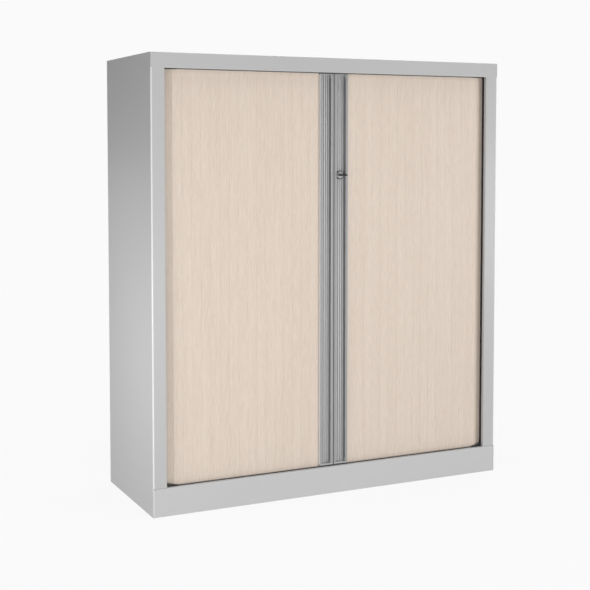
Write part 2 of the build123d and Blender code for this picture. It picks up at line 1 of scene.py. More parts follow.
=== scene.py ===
"""Studio scene of the side-opening tambour cupboard: finishes, the detailed roll fronts, grips,
lock and feet, and the light and camera. Metres, +Z up, front towards -Y."""
import json
from math import pi, radians

import bmesh
import bpy
import numpy as np
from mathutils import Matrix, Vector


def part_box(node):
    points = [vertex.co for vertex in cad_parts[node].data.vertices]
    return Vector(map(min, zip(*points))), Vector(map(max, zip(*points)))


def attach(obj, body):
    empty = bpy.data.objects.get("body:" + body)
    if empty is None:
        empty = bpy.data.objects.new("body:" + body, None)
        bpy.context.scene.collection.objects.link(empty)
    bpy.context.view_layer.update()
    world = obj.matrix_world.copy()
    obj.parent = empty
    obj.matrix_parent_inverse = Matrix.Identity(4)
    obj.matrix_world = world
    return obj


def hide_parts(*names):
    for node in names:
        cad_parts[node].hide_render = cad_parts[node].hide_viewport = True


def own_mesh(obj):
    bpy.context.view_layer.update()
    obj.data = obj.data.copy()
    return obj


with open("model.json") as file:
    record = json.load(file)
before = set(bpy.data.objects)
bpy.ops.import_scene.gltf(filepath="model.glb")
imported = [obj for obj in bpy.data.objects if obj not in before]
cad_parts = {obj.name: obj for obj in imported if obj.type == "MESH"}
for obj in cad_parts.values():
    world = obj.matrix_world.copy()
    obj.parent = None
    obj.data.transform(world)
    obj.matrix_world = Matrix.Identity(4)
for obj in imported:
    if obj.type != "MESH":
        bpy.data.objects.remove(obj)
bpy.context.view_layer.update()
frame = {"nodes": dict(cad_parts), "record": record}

MM = 0.001

# ---------------------------------------------------------------- sizes, in millimetres
# carcase
SIDE = 600.0
FRONT = -215.0
BACK = 215.0
TOP = 1360.0
SHEET = 1.0
BEND = 2.2
WIDE_BEND = 3.4
PLINTH_TOP = 85.0
RAIL_LOW = 1315.0
OPENING = 557.0
STILE_LIP = 12.0
RAIL_LIP = 9.0
REAR_FLANGE = 20.0
TOP_FLANGE = 15.0
SEAM = 0.3
SHY = 0.01  # between shells of one sheet that meet end to end

# roll fronts: half a curtain runs from its start to the corner, and the tail slats turn it
CURTAIN_FACE = -198.0
CURTAIN_LINE = -194.0
CURTAIN_START = 50.1
SLAT_PITCH = 30.0
SLAT_GAP = 0.08
SLAT_THICK = 8.0
SLAT_HALF = SLAT_THICK / 2
SLAT_WALL = 1.4
SLAT_COUNT = 16
SLAT_LOW = 80.0
SLAT_HIGH = 1331.0
TONGUE_HALF = 1.25
GROOVE_HALF = 1.55
TONGUE_REACH = 1.8
TAIL_START = 530.1
TAIL_COUNT = 4
TAIL_GAP = 0.3
CORNER_X = 530.2
TURN = 45.0
GUIDE_START = 515.0
LEFT_GRAIN = 9000.0  # how far along its grain the left curtain starts

# grips
GRIP_FRONT = -204.0
GRIP_BACK = -188.0
GRIP_NEAR = 1.1
GRIP_FAR = 49.6
GRIP_WALL = 1.7
GRIP_TONGUE = 2.3
FIN = 9.0
FIN_THICK = 3.0
RECESS = -190.5
RIB_COUNT = 4
RIB_PITCH = 7.0
RIB_HEIGHT = 2.4
RIB_ROOT = 1.5
RIB_CREST = 1.2

# lock and key
LOCK_X = 25.0
LOCK_Z = 999.0
LOCK_CENTRE = (LOCK_X, 0.0, LOCK_Z)
BORE = 6.65
THREAD = 9.5
COLLAR = 13.5
KEY_FRONT = -225.0
KEY_BACK = -204.5
KEY_HALF = 15.5

# small hardware
FOOT_X = 522.0
FOOT_Y = 150.0
RIVET_INSET = 15.0


# ---------------------------------------------------------------- shader maths
class Wire:
    """An output socket in a recipe, which takes arithmetic as a number does."""

    def __init__(self, recipe, socket):
        self.recipe = recipe
        self.socket = socket

    def maths(self, operation, *values):
        """The result of a Math node."""
        inputs = dict(enumerate(values))
        return self.recipe.node("ShaderNodeMath", {"operation": operation}, inputs)

    def __add__(self, other):
        return self.maths("ADD", self, other)

    def __radd__(self, other):
        return self.maths("ADD", other, self)

    def __sub__(self, other):
        return self.maths("SUBTRACT", self, other)

    def __rsub__(self, other):
        return self.maths("SUBTRACT", other, self)

    def __mul__(self, other):
        return self.maths("MULTIPLY", self, other)

    def __rmul__(self, other):
        return self.maths("MULTIPLY", other, self)

    def __truediv__(self, other):
        return self.maths("DIVIDE", self, other)

    def __pow__(self, other):
        return self.maths("POWER", self, other)

    def whole(self):
        """This rounded down."""
        return self.maths("FLOOR", self)

    def ramp(self, low, high, start=0.0, end=1.0):
        """This mapped smoothly from low..high to start..end."""
        settings = {"interpolation_type": "SMOOTHSTEP"}
        inputs = {"Value": self, "From Min": low, "From Max": high, "To Min": start, "To Max": end}
        return self.recipe.node("ShaderNodeMapRange", settings, inputs)


class Recipe:
    """The nodes of one finish."""

    def __init__(self, name):
        self.finish = bpy.data.materials.new(name)
        self.finish.use_nodes = True
        self.tree = self.finish.node_tree
        self.tree.nodes.clear()

    def node(self, kind, settings=None, inputs=None, output=0):
        """Adds a node of that type: settings first, then values or wires to its sockets."""
        made = self.tree.nodes.new(kind)
        for key, value in (settings or {}).items():
            setattr(made, key, value)
        for key, value in (inputs or {}).items():
            if isinstance(value, Wire):
                self.tree.links.new(value.socket, made.inputs[key])
            else:
                made.inputs[key].default_value = value
        return Wire(self, made.outputs[output])

    def place(self):
        """Object coordinates, which are the row frame's metres."""
        return self.node("ShaderNodeTexCoord", output="Object")

    def attribute(self, name):
        """A vector stored on the piece's points."""
        return self.node("ShaderNodeAttribute", {"attribute_name": name}, output="Vector")

    def parts(self, vector):
        """The x, y and z of a vector."""
        split = self.node("ShaderNodeSeparateXYZ", inputs={0: vector}).socket.node
        return [Wire(self, socket) for socket in split.outputs]

    def vector(self, x, y, z):
        """A vector of three values."""
        return self.node("ShaderNodeCombineXYZ", inputs={0: x, 1: y, 2: z})

    def stretched(self, vector, x, y, z):
        """A vector with its components multiplied by x, y and z."""
        return self.node("ShaderNodeVectorMath", {"operation": "MULTIPLY"}, {0: vector, 1: (x, y, z)})

    def noise(self, vector, scale=1.0, detail=2.0, rough=0.5):
        """Cloudy noise about 0.5."""
        inputs = {"Vector": vector, "Scale": scale, "Detail": detail, "Roughness": rough}
        return self.node("ShaderNodeTexNoise", inputs=inputs)

    def cells(self, vector, scale):
        """A random colour in each cell of a crazed pattern."""
        inputs = {"Vector": vector, "Scale": scale}
        return self.node("ShaderNodeTexVoronoi", inputs=inputs, output="Color")

    def chance(self, value):
        """A steady random number from 0 to 1 for each value."""
        return self.node("ShaderNodeTexWhiteNoise", {"noise_dimensions": "1D"}, {"W": value}, "Value")

    def blend(self, share, first, second):
        """Colour first where share is 0, second where it is 1."""
        settings = {"data_type": "RGBA"}
        inputs = {0: share, 6: first, 7: second}
        return self.node("ShaderNodeMix", settings, inputs, 2)

    def grey(self, value):
        """A value as a grey colour."""
        return self.node("ShaderNodeCombineColor", inputs={0: value, 1: value, 2: value})

    def relief(self, height, depth, strength=1.0):
        """Surface normals of a height from 0 to 1 that stands depth metres high."""
        inputs = {"Height": height, "Distance": depth, "Strength": strength}
        return self.node("ShaderNodeBump", inputs=inputs)

    def done(self, **sockets):
        """Ends the recipe in the surface shader, with underscores for spaces in the socket names."""
        inputs = {key.replace("_", " "): value for key, value in sockets.items()}
        surface = self.node("ShaderNodeBsdfPrincipled", inputs=inputs)
        self.node_out(surface)
        return self.finish

    def node_out(self, surface):
        """Ends the recipe in that surface."""
        out = self.tree.nodes.new("ShaderNodeOutputMaterial")
        self.tree.links.new(surface.socket, out.inputs["Surface"])


def rgb(red, green, blue):
    """An opaque colour."""
    return (red, green, blue, 1.0)


# ---------------------------------------------------------------- finishes
def powder_coat(name, light, dark, rough, peel):
    """Fine-grained powder coat: an orange-peel skin, a flake speckle, slow shifts of tone, a
    glossier outermost layer, a painted highlight along the two front corner bends, and painted light that
    makes the plinth's front paler."""
    r = Recipe(name)
    spot = r.place()
    x, y, z = r.parts(spot)
    front = y.ramp((FRONT + 3.8) * MM, (FRONT + BEND) * MM)
    outer = (x * x).ramp(((SIDE - 4.6) * MM) ** 2, ((SIDE - 3.0) * MM) ** 2)
    corner = outer * front * z.ramp((RAIL_LOW + 0.8) * MM, RAIL_LOW * MM)
    plinth = front * z.ramp((PLINTH_TOP + 0.2) * MM, PLINTH_TOP * MM)
    skin = r.noise(spot, 480.0, 3.0, 0.55)
    flake = r.cells(spot, 2600.0)
    flake_tone = r.parts(flake)[0]
    cloud = r.noise(spot, 2.2, 3.0, 0.5)
    share = cloud * 0.5 + flake_tone * 0.35 + skin * 0.15
    # painted highlight: the front corner bends get a paler colour in place of the light they catch
    painted_highlight = tuple(1.45 * tone for tone in light[:3]) + (1.0,)
    # painted light: the plinth's front gets a paler copy of the coat, for the light that falls brighter
    # low down
    plinth_lit_dark, plinth_lit_light = (tuple(1.1 * tone for tone in c[:3]) + (1.0,) for c in (dark, light))
    coat = r.blend(plinth, r.blend(share, dark, light), r.blend(share, plinth_lit_dark, plinth_lit_light))
    colour = r.blend(corner, coat, painted_highlight)
    gloss = rough + (flake_tone - 0.5) * 0.10 + (cloud - 0.5) * 0.08
    return r.done(
        Base_Color=colour,
        Roughness=gloss,
        Coat_Weight=0.2,
        Coat_Roughness=0.2,
        Normal=r.relief(skin * 0.8 + flake_tone * 0.2, peel),
    )


def decor_film():
    """Pale oak film on the slats' faces, with upright fibres, pores and slow bands, and plain
    plastic behind. It follows the curtain: its attribute holds the distance along the curtain,
    the depth behind the face, and the height."""
    r = Recipe("oak_decor_film")
    along, depth, height = r.parts(r.attribute("curtain"))
    slat = ((along - CURTAIN_START * MM) / (SLAT_PITCH * MM)).whole()
    luck = r.chance(slat)
    lift = height + luck * 4.0
    fibre = r.noise(r.vector(along * 1020.0, lift * 34.0, luck * 9.0), 1.0, 3.0, 0.55)
    strand = r.noise(r.vector(along * 400.0, lift * 14.0, luck * 5.0), 1.0, 2.0, 0.5)
    band = r.noise(r.vector(along * 26.0, lift * 1.3, 3.0), 1.0, 1.5, 0.5)
    pore_field = r.noise(r.vector(along * 1500.0, lift * 110.0, luck * 7.0), 1.0, 2.0, 0.6)
    pore = pore_field.ramp(0.60, 0.70)
    tone = fibre.ramp(0.28, 0.72) * 0.54 + strand.ramp(0.28, 0.72) * 0.30 + band.ramp(0.3, 0.7) * 0.16
    grain = r.blend(tone, rgb(0.517, 0.430, 0.357), rgb(0.643, 0.553, 0.473))
    wood = r.blend(pore * 0.30, grain, rgb(0.36, 0.28, 0.21))
    behind = depth.ramp(0.0012, 0.0016)
    colour = r.blend(behind, wood, rgb(0.47, 0.42, 0.36))
    height_field = fibre * 0.5 - pore * 0.5 + 0.5
    return r.done(
        Base_Color=colour,
        Roughness=0.50 + (fibre - 0.5) * 0.16 + pore * 0.10,
        Normal=r.relief(height_field, 0.00006, 0.7),
    )


def anodised():
    """Satin anodised extrusion with fine upright die lines, painted shade and a rougher finish on
    the fins' front faces, and painted highlights on the rib crests, the outer walls and the fins' edges."""
    r = Recipe("satin_anodised")
    spot = r.place()
    x, y = r.parts(spot)[:2]
    span = x * x
    fin_edge = GRIP_NEAR + FIN
    # painted highlight on the grips' outer walls and on the near fins' outer edges
    outer_wall_highlight = span.ramp(((GRIP_FAR - 1.6) * MM) ** 2, ((GRIP_FAR - 1.0) * MM) ** 2)
    near_edge = span.ramp(((fin_edge - 0.9) * MM) ** 2, ((fin_edge - 0.4) * MM) ** 2)
    past_edge = span.ramp(((fin_edge + 0.5) * MM) ** 2, ((fin_edge + 0.2) * MM) ** 2)
    inner_edge_highlight = near_edge * past_edge * y.ramp((GRIP_FRONT + 3.3) * MM, (GRIP_FRONT + 2.8) * MM)
    lines = r.noise(r.stretched(spot, 1500.0, 1500.0, 0.6), 1.0, 2.0, 0.5)
    haze = r.noise(spot, 14.0, 3.0, 0.5)
    # painted highlight on the rib crests
    crest_root = y.ramp((RECESS - 0.3) * MM, (RECESS - 2.2) * MM)
    crest = crest_root * y.ramp((RECESS - 5.5) * MM, (RECESS - 3.5) * MM)
    # painted shade on the fins' front faces, which are also rougher
    shaded_fin_front = y.ramp((GRIP_FRONT + 0.8) * MM, (GRIP_FRONT + 0.2) * MM)
    # painted light: the highlights lift the tone and the painted shade lowers it
    lift = 1.0 + crest * 0.80 - shaded_fin_front * 0.14 + (outer_wall_highlight + inner_edge_highlight) * 0.85
    tone = (0.295 + lines * 0.04 + haze * 0.02) * lift
    return r.done(
        Base_Color=r.grey(tone),
        Metallic=0.30,
        Roughness=0.38 + lines * 0.10 + shaded_fin_front * 0.10,
        Normal=r.relief(lines, 0.00001, 0.3),
    )


def plated(name, colour, rough, scale):
    """Plated metal with faint polishing marks and hazy patches."""
    r = Recipe(name)
    spot = r.place()
    marks = r.noise(r.stretched(spot, 3.0, 1.0, 1.0), scale, 4.0, 0.6)
    haze = r.noise(spot, 60.0, 2.0, 0.5)
    dull = tuple(c * 0.82 for c in colour[:3]) + (1.0,)
    return r.done(
        Base_Color=r.blend(haze, dull, colour),
        Metallic=1.0,
        Roughness=rough + marks * 0.10 + haze * 0.06,
        Normal=r.relief(marks, 0.00002, 0.4),
    )


def lock_nickel():
    """Satin nickel face inside a ring groove painted near black as painted shade, with turning marks
    round the lock's axis.
    """
    r = Recipe("satin_nickel")
    spot = r.place()
    x, _, z = r.parts(spot)
    across = x - LOCK_X * MM
    up = z - LOCK_Z * MM
    reach = (across * across + up * up) ** 0.5
    marks = r.noise(r.vector(reach * 2600.0, 0.0, 0.0), 1.0, 2.0, 0.5)
    haze = r.noise(spot, 60.0, 2.0, 0.5)
    # painted shade: the groove and the collar's rim are painted near black for the shadowed gap round the
    # collar
    groove, rim = 11.0, 13.9
    ring = reach.ramp((groove - 0.2) * MM, (groove + 0.2) * MM)
    ring = ring * reach.ramp((rim + 0.2) * MM, (rim - 0.2) * MM)
    tone = (0.34 + marks * 0.05 + haze * 0.04) * (1.0 - ring * 0.93)
    return r.done(
        Base_Color=r.grey(tone),
        Metallic=0.4 - ring * 0.4,
        Roughness=0.36 + marks * 0.10 + ring * 0.2,
        Normal=r.relief(marks, 0.00001, 0.4),
    )


def moulded(name, dark, light, rough, grain):
    """Moulded plastic with a fine spark-eroded grain and flow shifts."""
    r = Recipe(name)
    spot = r.place()
    skin = r.noise(spot, 900.0, 2.0, 0.6)
    flow = r.noise(spot, 25.0, 3.0, 0.5)
    return r.done(
        Base_Color=r.blend(flow * 0.7 + skin * 0.3, dark, light),
        Roughness=rough + (skin - 0.5) * 0.14,
        Normal=r.relief(skin, grain),
    )


def track_plastic():
    """Black moulded track, lighter, mottled and rougher along the straight runs and darker in the corner
    guides.
    """
    r = Recipe("black_track_plastic")
    spot = r.place()
    x = r.parts(spot)[0]
    skin = r.noise(spot, 900.0, 2.0, 0.6)
    straight_mottle = r.noise(spot, 40.0, 3.0, 0.5)
    # lighter, mottled and rougher along the straight runs than in the corner guides
    straight = (x * x).ramp(((GUIDE_START + 2.0) * MM) ** 2, ((GUIDE_START - 2.0) * MM) ** 2)
    tone = 0.014 + skin * 0.010 + straight * (0.055 + straight_mottle * 0.035)
    return r.done(
        Base_Color=r.grey(tone),
        Roughness=0.42 + (skin - 0.5) * 0.14 + straight * 0.15,
        Normal=r.relief(skin, 0.00003),
    )


def greys(dark, light):
    """A dark and a light grey."""
    return rgb(dark, dark, dark), rgb(light, light, light)


def build_finishes():
    """Every finish by the record's slot name."""
    coat_light, coat_dark = rgb(0.425, 0.425, 0.425), rgb(0.375, 0.375, 0.375)
    inner_light, inner_dark = rgb(0.46, 0.46, 0.455), rgb(0.415, 0.415, 0.41)
    foot_dark, foot_light = rgb(0.018, 0.018, 0.019), rgb(0.03, 0.03, 0.03)
    return {
        "carcase_paint": powder_coat("aluminium_grey_powder_coat", coat_light, coat_dark, 0.46, 0.00005),
        "inner_paint": powder_coat("light_grey_powder_coat", inner_light, inner_dark, 0.50, 0.00005),
        "wood_decor": decor_film(),
        "grip_aluminium": anodised(),
        "grey_plastic": moulded("grey_end_cap", *greys(0.36, 0.42), 0.45, 0.00003),
        "black_track": track_plastic(),
        "black_plastic": moulded("black_foot_plastic", foot_dark, foot_light, 0.5, 0.00004),
        "seal_rubber": moulded("soft_dark_rubber", *greys(0.009, 0.015), 0.72, 0.00005),
        "lock_chrome": lock_nickel(),
        "zinc_steel": plated("bright_zinc", rgb(0.66, 0.67, 0.68), 0.30, 120.0),
        "key_steel": plated("nickel_key", rgb(0.66, 0.65, 0.63), 0.24, 220.0),
        "key_plastic": moulded("black_key_head", *greys(0.006, 0.012), 0.5, 0.00003),
    }


# ---------------------------------------------------------------- stage, light and camera
def build_camera():
    """The camera, with its lens axis level but for a slight tilt down."""
    lens = bpy.data.cameras.new("camera")
    lens.sensor_width = 36.0
    lens.lens = 72.56
    lens.shift_y = -0.1375
    lens.clip_end = 200.0
    camera = bpy.data.objects.new("camera", lens)
    camera.location = (-1.7082, -3.4831, 1.0934)
    camera.rotation_euler = (radians(90.0 - 3.33), 0.0, radians(-25.63))
    bpy.context.scene.collection.objects.link(camera)
    bpy.context.scene.camera = camera


def softbox(name, place, aim, width, height, watts, spread=180.0):
    """A rectangular light at place, turned towards aim, that spreads over so many degrees."""
    lamp = bpy.data.lights.new(name, "AREA")
    lamp.shape = "RECTANGLE"
    lamp.size = width
    lamp.size_y = height
    lamp.energy = watts
    lamp.spread = radians(spread)
    holder = bpy.data.objects.new(name, lamp)
    holder.location = place
    holder.rotation_euler = (Vector(aim) - Vector(place)).to_track_quat("-Z", "Y").to_euler()
    holder.visible_camera = False
    bpy.context.scene.collection.objects.link(holder)


def build_world(seen, glow):
    """A white studio: seen is what the camera sees of it, glow the light that it gives."""
    world = bpy.data.worlds.new("studio")
    bpy.context.scene.world = world
    world.use_nodes = True
    tree = world.node_tree
    tree.nodes.clear()
    path = tree.nodes.new("ShaderNodeLightPath")
    pick = tree.nodes.new("ShaderNodeMix")
    pick.inputs[2].default_value = glow
    pick.inputs[3].default_value = seen
    back = tree.nodes.new("ShaderNodeBackground")
    back.inputs["Color"].default_value = rgb(1.0, 1.0, 1.0)
    out = tree.nodes.new("ShaderNodeOutputWorld")
    tree.links.new(path.outputs["Is Camera Ray"], pick.inputs[0])
    tree.links.new(pick.outputs[0], back.inputs["Strength"])
    tree.links.new(back.outputs[0], out.inputs["Surface"])


def build_floor(seen, glow):
    """A pale floor that looks as the studio does and gives back that glow, with a little true
    shading near the cupboard."""
    r = Recipe("pale_floor")
    x, y = r.parts(r.place())[:2]
    reach = (x * x + y * y) ** 0.5
    matt = r.node("ShaderNodeBsdfDiffuse", inputs={"Color": rgb(0.9, 0.9, 0.9)})
    direct = r.node("ShaderNodeLightPath", output="Is Camera Ray")
    level = direct * (seen - glow) + glow
    lit = r.node("ShaderNodeEmission", inputs={"Color": rgb(1.0, 1.0, 1.0), "Strength": level})
    share = reach.ramp(0.9, 2.2, 0.05, 0.0)
    r.node_out(r.node("ShaderNodeMixShader", inputs={0: share, 1: lit, 2: matt}))
    around, radius, drop = 64, 60.0, 0.0005
    turn = np.linspace(0.0, 2 * pi, around + 1)[:-1]
    ring = np.stack([radius * np.cos(turn), radius * np.sin(turn), np.full(around, -drop)], axis=1)
    mesh = bpy.data.meshes.new("floor")
    mesh.from_pydata(ring.tolist(), [], [list(range(around))])
    mesh.materials.append(r.finish)
    floor = bpy.data.objects.new("floor", mesh)
    bpy.context.scene.collection.objects.link(floor)


def build_studio():
    """View settings, world, floor, lights and camera."""
    bpy.context.scene.view_settings.view_transform = "Standard"
    build_world(0.956, 0.02)
    build_floor(0.956, 1.0)
    softbox("left_box", (-1.35, -0.25, 0.62), (-0.6, -0.05, 0.55), 0.4, 0.4, 0.8)
    softbox("left_low_box", (-1.35, -0.3, 0.45), (-0.6, -0.1, 0.45), 0.4, 0.4, 1.0, 120.0)
    softbox("left_front_box", (-2.6, -1.2, 0.6), (-0.6, 0.0, 0.55), 0.6, 1.0, 14.0)
    softbox("low_front_box", (-0.6, -3.2, 0.35), (0.0, 0.0, 0.5), 2.0, 0.6, 33.0)
    softbox("right_front_box", (3.2, -3.4, 0.6), (0.2, 0.0, 0.5), 1.6, 0.9, 35.0)
    softbox("high_box", (-1.2, -3.5, 9.5), (0.0, 0.0, 0.7), 0.9, 0.9, 140.0)
    softbox("right_high_box", (3.5, -4.5, 4.5), (0.0, 0.0, 0.7), 1.2, 1.2, 85.0)
    softbox("top_box", (0.0, 0.2, 4.2), (0.0, 0.0, 0.0), 2.5, 2.5, 120.0)
    softbox("rear_box", (3.5, 3.0, 1.4), (0.0, 0.0, 0.6), 2.5, 2.0, 105.0)
    build_camera()


# ---------------------------------------------------------------- shapes
def rounded(corners, radii, steps=5, closed=True):
    """Outline points (n, 2): each corner swapped for an arc of its radius, tangent to both sides,
    at steps + 1 equal turns. The ends of an open outline stay sharp."""
    here = np.asarray(corners, float)
    radii = np.broadcast_to(np.asarray(radii, float), (len(here),)).copy()
    to_last = np.roll(here, 1, axis=0) - here
    to_next = np.roll(here, -1, axis=0) - here
    to_last /= np.linalg.norm(to_last, axis=1, keepdims=True)
    to_next /= np.linalg.norm(to_next, axis=1, keepdims=True)
    half = np.arccos(np.clip((to_last * to_next).sum(1), -1.0, 1.0)) / 2
    middle = to_last + to_next
    middle /= np.linalg.norm(middle, axis=1, keepdims=True)
    centre = here + middle * (radii / np.sin(half))[:, None]
    arm = here + to_last * (radii / np.tan(half))[:, None] - centre
    way = np.sign(to_last[:, 1] * to_next[:, 0] - to_last[:, 0] * to_next[:, 1])
    turn = (way * (pi - 2 * half))[:, None] * np.linspace(0.0, 1.0, steps + 1)[None, :]
    x = arm[:, 0, None] * np.cos(turn) - arm[:, 1, None] * np.sin(turn)
    y = arm[:, 0, None] * np.sin(turn) + arm[:, 1, None] * np.cos(turn)
    points = np.stack([x, y], axis=2) + centre[:, None, :]
    if closed:
        return points.reshape(-1, 2)
    return np.concatenate([here[:1], points[1:-1].reshape(-1, 2), here[-1:]])


def bent_sheet(corners, radius, thickness, steps=5):
    """Closed section (n, 2) of a sheet whose outer side runs through the corners with that bend
    radius, or one for each corner, its inner side one thickness to the left of the way along."""
    outer = np.asarray(corners, float)
    way = np.diff(outer, axis=0)
    way /= np.linalg.norm(way, axis=1, keepdims=True)
    left = np.stack([-way[:, 1], way[:, 0]], axis=1)
    first = np.concatenate([left[:1], left])
    last = np.concatenate([left, left[-1:]])
    side = (first + last) / (1.0 + (first * last).sum(1))[:, None]
    inner = outer + side * thickness
    cross = way[:-1, 0] * way[1:, 1] - way[:-1, 1] * way[1:, 0]
    bends = np.concatenate([[0.0], np.sign(cross), [0.0]])
    outer_line = rounded(outer, radius, steps, closed=False)
    inner_line = rounded(inner, np.maximum(radius - bends * thickness, 0.05), steps, closed=False)
    return np.concatenate([outer_line, inner_line[::-1]])


def upright(outline, z_values):
    """Sections (m, n, 3): a plan outline carried straight up through the heights."""
    z = np.broadcast_to(np.asarray(z_values, float)[:, None], (len(z_values), len(outline)))
    plan = np.broadcast_to(outline, (len(z_values),) + outline.shape)
    return np.concatenate([plan, z[:, :, None]], axis=2)


def lengthwise(outline, x_values):
    """Sections (m, n, 3): an outline in (y, z) carried straight along X."""
    x = np.broadcast_to(np.asarray(x_values, float)[:, None], (len(x_values), len(outline)))
    end = np.broadcast_to(outline, (len(x_values),) + outline.shape)
    return np.concatenate([x[:, :, None], end], axis=2)


def turned(profile, centre, axis="z", turns=48, wave=None):
    """Sections (m, turns, 3) of a lathe shape: each (radius, distance) of the profile swept round
    the axis through centre. wave(angle, row) scales the radius."""
    angle = np.linspace(0.0, 2 * pi, turns + 1)[:-1][None, :]
    radius = np.asarray(profile, float)[:, 0, None]
    along = np.broadcast_to(np.asarray(profile, float)[:, 1, None], (len(profile), turns))
    if wave is not None:
        radius = wave(angle, radius)
    a = radius * np.cos(angle)
    b = radius * np.sin(angle)
    if axis == "z":
        return np.stack([a, b, along], axis=2) + np.asarray(centre, float)
    return np.stack([a, along, -b], axis=2) + np.asarray(centre, float)


class Skin:
    """The patches of one piece, gathered as whole arrays of points and faces in millimetres."""

    def __init__(self):
        self.points = []
        self.faces = []
        self.count = 0

    def add(self, points, faces, flip=False):
        """Adds points (n, 3) and index rows into them."""
        for rows in faces:
            rows = np.atleast_2d(rows) + self.count
            self.faces.append(rows[:, ::-1] if flip else rows)
        self.points.append(np.asarray(points, float).reshape(-1, 3))
        self.count += len(self.points[-1])
        return self

    def tube(self, sections, ends=True, flip=False):
        """A skin over sections (m, n, 3), each a loop turning left about the way they go, with a
        flat face over each end. An end whose points meet in one is left to close itself."""
        rows, around = sections.shape[:2]
        faces = [ring_faces(rows, around)]
        if ends:
            last = (rows - 1) * around
            faces.append(np.arange(around)[::-1])
            faces.append(last + np.arange(around))
        return self.add(sections, faces, flip)

    def mirrored(self):
        """The same piece on the other side of the middle plane."""
        other = Skin()
        other.points = [points * (-1.0, 1.0, 1.0) for points in self.points]
        other.faces = [rows[:, ::-1] for rows in self.faces]
        other.count = self.count
        return other

    def made(self, name, slot_name, body, replaced=(), crease=32.0):
        """Makes the object in metres, with flats kept flat beside their rounded edges."""
        points = np.concatenate(self.points) * MM
        polygons = [row.tolist() for rows in self.faces for row in rows]
        mesh = bpy.data.meshes.new(name)
        mesh.from_pydata(points.tolist(), [], polygons)
        mesh.validate()
        weld(mesh)
        mesh.polygons.foreach_set("use_smooth", np.ones(len(mesh.polygons), bool))
        mesh.set_sharp_from_angle(angle=radians(crease))
        mesh.materials.append(finishes[slot_name])
        piece = bpy.data.objects.new(name, mesh)
        bpy.context.scene.collection.objects.link(piece)
        flats = piece.modifiers.new("flat_faces", "WEIGHTED_NORMAL")
        flats.keep_sharp = True
        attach(piece, body)
        if replaced:
            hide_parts(*replaced)
        return piece


def weld(mesh):
    """Joins points that fall together, which closes poles and seams."""
    work = bmesh.new()
    work.from_mesh(mesh)
    bmesh.ops.remove_doubles(work, verts=work.verts, dist=0.002 * MM)
    bmesh.ops.dissolve_degenerate(work, dist=0.002 * MM, edges=work.edges)
    work.to_mesh(mesh)
    work.free()


def ring_faces(rows, around):
    """Four-sided faces between neighbouring loops of a grid that closes round itself."""
    here = np.arange(around)
    after = (here + 1) % around
    base = (np.arange(rows - 1) * around)[:, None]
    quads = np.stack([base + here, base + after, base + after + around, base + here + around], axis=2)
    return quads.reshape(-1, 4)


def both_hands(skin, name, slot_name, body="carcase", **more):
    """Makes the right-hand piece and its mirror image."""
    right = skin.made("right_" + name[0], slot_name, body, ("right_" + name[1],), **more)
    left = skin.mirrored().made("left_" + name[0], slot_name, body, ("left_" + name[1],), **more)
    return right, left


# ---------------------------------------------------------------- carcase sheets
def build_side_panels():
    """One sheet bent round from the stile's lip through the side wall to the rear flange, with a
    plain skirt beside the plinth and a head under the top sheet."""
    rear = [(SIDE, BACK), (SIDE - REAR_FLANGE, BACK)]
    stile = [(OPENING, FRONT + STILE_LIP), (OPENING, FRONT), (SIDE, FRONT)]
    bends = [0.0, BEND, WIDE_BEND, BEND, 0.0]
    low = PLINTH_TOP + SEAM
    high = RAIL_LOW + BEND
    head_front = FRONT + BEND + SEAM
    skin = Skin()
    skin.tube(upright(bent_sheet(stile + rear, bends, SHEET, 8), [low, high]))
    skin.tube(upright(bent_sheet([(SIDE, FRONT)] + rear, BEND, SHEET, 8), [0.0, low - SHY]))
    skin.tube(upright(bent_sheet([(SIDE, head_front)] + rear, BEND, SHEET, 8), [high + SHY, TOP - SHEET]))
    inner, wall, rear_end = SIDE - TOP_FLANGE, SIDE - SHEET, BACK - 4.4
    flange = [(inner, head_front), (wall, head_front), (wall, rear_end), (inner, rear_end)]
    skin.tube(upright(np.array(flange), [TOP - 2 * SHEET, TOP - SHEET]))
    both_hands(skin, ("side_sheet", "side_panel"), "carcase_paint")


def build_top_panel():
    """The top sheet's bent section carried across the width; at both ends the lip and the rear
    flange are drawn back against the front and the top."""
    rear = BACK - SHEET - 0.1
    line = [(rear, TOP - REAR_FLANGE), (rear, TOP), (FRONT, TOP)]
    line += [(FRONT, RAIL_LOW), (FRONT + RAIL_LIP, RAIL_LOW)]
    section = bent_sheet(line, BEND, SHEET, 8)
    y, z = section[:, 0], section[:, 1]
    under = z < TOP - SHEET - 0.01
    y_end = np.where(under & (y < 0), np.minimum(y, FRONT + SHEET + 0.1), y)
    z_end = np.where(under & (y > 0), TOP - SHEET, z)
    short = np.stack([y_end, z_end], axis=1)
    end = SIDE - BEND - SHEET
    places = np.array([-SIDE, -end, -end, end, end, SIDE])
    outlines = np.stack([short, short, section, section, short, short])
    x = np.broadcast_to(places[:, None, None], outlines.shape[:2] + (1,))
    skin = Skin().tube(np.concatenate([x, outlines], axis=2))
    skin.made("top_sheet", "carcase_paint", "carcase", ("top_panel",))


